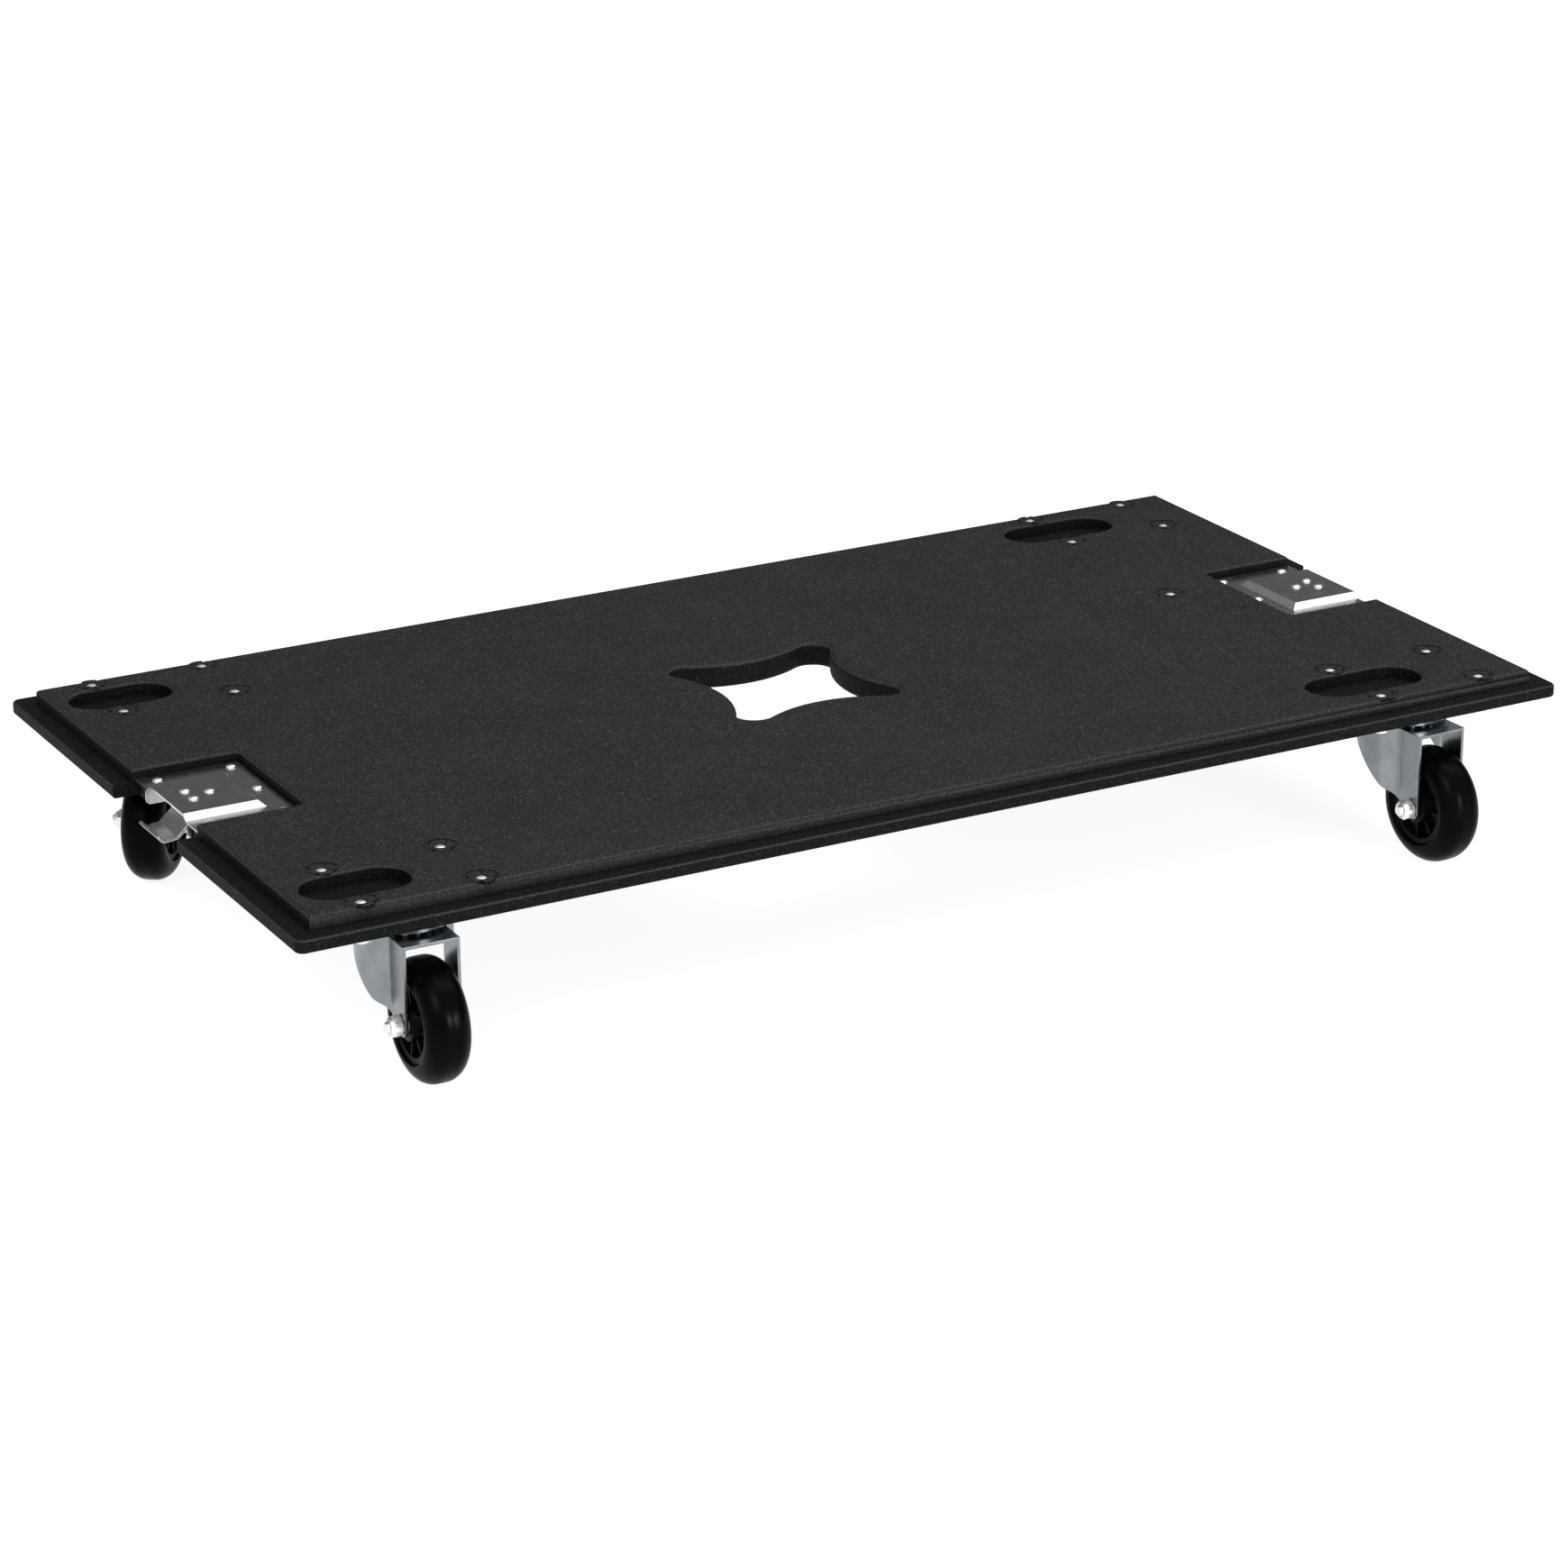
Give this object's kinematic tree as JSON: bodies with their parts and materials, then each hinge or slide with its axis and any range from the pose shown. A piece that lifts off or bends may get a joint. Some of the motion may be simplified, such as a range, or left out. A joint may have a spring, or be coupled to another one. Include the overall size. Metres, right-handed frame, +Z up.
{
  "type": "furniture dolly",
  "caption": "Rectangular black wheel board with a hand hole, stacking pockets and a latch keeper at each end, on four free swivel casters.",
  "frame": {"origin": "on the floor under the middle of the board", "axes": "+X along the board towards the end with the spare bolt, +Y across it, +Z up"},
  "size_m": [0.928, 0.545, 0.124],
  "materials": {
    "deck": "plywood with a rolled black textured coating",
    "sunk_nuts": "steel T-nuts under the board's black coating",
    "keeper_zinc": "pressed steel sheet, zinc plated",
    "rivet_zinc": "steel rivets, bright zinc",
    "bolt_zinc": "bright zinc plated fasteners",
    "caster_zinc": "pressed steel, blue-white zinc plated",
    "ball_steel": "polished bearing steel, greased",
    "hub_plastic": "black moulded polypropylene",
    "tyre_rubber": "smooth black rubber, semi-gloss"
  },
  "bodies": {
    "board": {"deck_board": "deck", "tee_nuts": "sunk_nuts", "caster_bolts": "bolt_zinc", "bolt_washers": "bolt_zinc", "spare_bolt": "bolt_zinc", "flange_rivets_left": "rivet_zinc", "flange_rivets_right": "rivet_zinc", "hook_rivets_left": "rivet_zinc", "hook_rivets_right": "rivet_zinc", "keeper_hook_left": "keeper_zinc", "keeper_hook_right": "keeper_zinc", "keeper_plate_left": "keeper_zinc", "keeper_plate_right": "keeper_zinc", "caster_plate_front_left": "caster_zinc", "kingpin_front_left": "caster_zinc", "lower_race_front_left": "caster_zinc", "caster_plate_front_right": "caster_zinc", "kingpin_front_right": "caster_zinc", "lower_race_front_right": "caster_zinc", "caster_plate_rear_left": "caster_zinc", "kingpin_rear_left": "caster_zinc", "lower_race_rear_left": "caster_zinc", "caster_plate_rear_right": "caster_zinc", "kingpin_rear_right": "caster_zinc", "lower_race_rear_right": "caster_zinc"},
    "swivel_front_left": {"fork_front_left": "caster_zinc", "swivel_balls_front_left": "ball_steel", "axle_bolt_front_left": "bolt_zinc", "axle_nut_front_left": "bolt_zinc", "axle_sleeve_front_left": "ball_steel"},
    "wheel_front_left": {"wheel_hub_front_left": "hub_plastic", "tyre_front_left": "tyre_rubber"},
    "swivel_front_right": {"fork_front_right": "caster_zinc", "swivel_balls_front_right": "ball_steel", "axle_bolt_front_right": "bolt_zinc", "axle_nut_front_right": "bolt_zinc", "axle_sleeve_front_right": "ball_steel"},
    "wheel_front_right": {"wheel_hub_front_right": "hub_plastic", "tyre_front_right": "tyre_rubber"},
    "swivel_rear_left": {"fork_rear_left": "caster_zinc", "swivel_balls_rear_left": "ball_steel", "axle_bolt_rear_left": "bolt_zinc", "axle_nut_rear_left": "bolt_zinc", "axle_sleeve_rear_left": "ball_steel"},
    "wheel_rear_left": {"wheel_hub_rear_left": "hub_plastic", "tyre_rear_left": "tyre_rubber"},
    "swivel_rear_right": {"fork_rear_right": "caster_zinc", "swivel_balls_rear_right": "ball_steel", "axle_bolt_rear_right": "bolt_zinc", "axle_nut_rear_right": "bolt_zinc", "axle_sleeve_rear_right": "ball_steel"},
    "wheel_rear_right": {"wheel_hub_rear_right": "hub_plastic", "tyre_rear_right": "tyre_rubber"}
  },
  "joints": [
    {"name": "swivel_front_left", "type": "hinge", "parent": "board", "child": "swivel_front_left", "pos_m": [-0.373, -0.197, 0.09], "axis": [0, 0, 1], "continuous": true},
    {"name": "wheel_front_left", "type": "hinge", "parent": "swivel_front_left", "child": "wheel_front_left", "pos_m": [-0.37362, -0.23249, 0.04], "axis": [-0.9998, 0.0175, 0], "continuous": true},
    {"name": "swivel_front_right", "type": "hinge", "parent": "board", "child": "swivel_front_right", "pos_m": [0.373, -0.197, 0.09], "axis": [0, 0, 1], "continuous": true},
    {"name": "wheel_front_right", "type": "hinge", "parent": "swivel_front_right", "child": "wheel_front_right", "pos_m": [0.37455, -0.23247, 0.04], "axis": [-0.999, -0.0436, 0], "continuous": true},
    {"name": "swivel_rear_left", "type": "hinge", "parent": "board", "child": "swivel_rear_left", "pos_m": [-0.373, 0.197, 0.09], "axis": [0, 0, 1], "continuous": true},
    {"name": "wheel_rear_left", "type": "hinge", "parent": "swivel_rear_left", "child": "wheel_rear_left", "pos_m": [-0.39486, 0.16903, 0.04], "axis": [-0.788, 0.6157, 0], "continuous": true},
    {"name": "swivel_rear_right", "type": "hinge", "parent": "board", "child": "swivel_rear_right", "pos_m": [0.373, 0.197, 0.09], "axis": [0, 0, 1], "continuous": true},
    {"name": "wheel_rear_right", "type": "hinge", "parent": "swivel_rear_right", "child": "wheel_rear_right", "pos_m": [0.37455, 0.23247, 0.04], "axis": [0.999, -0.0436, 0], "continuous": true}
  ]
}
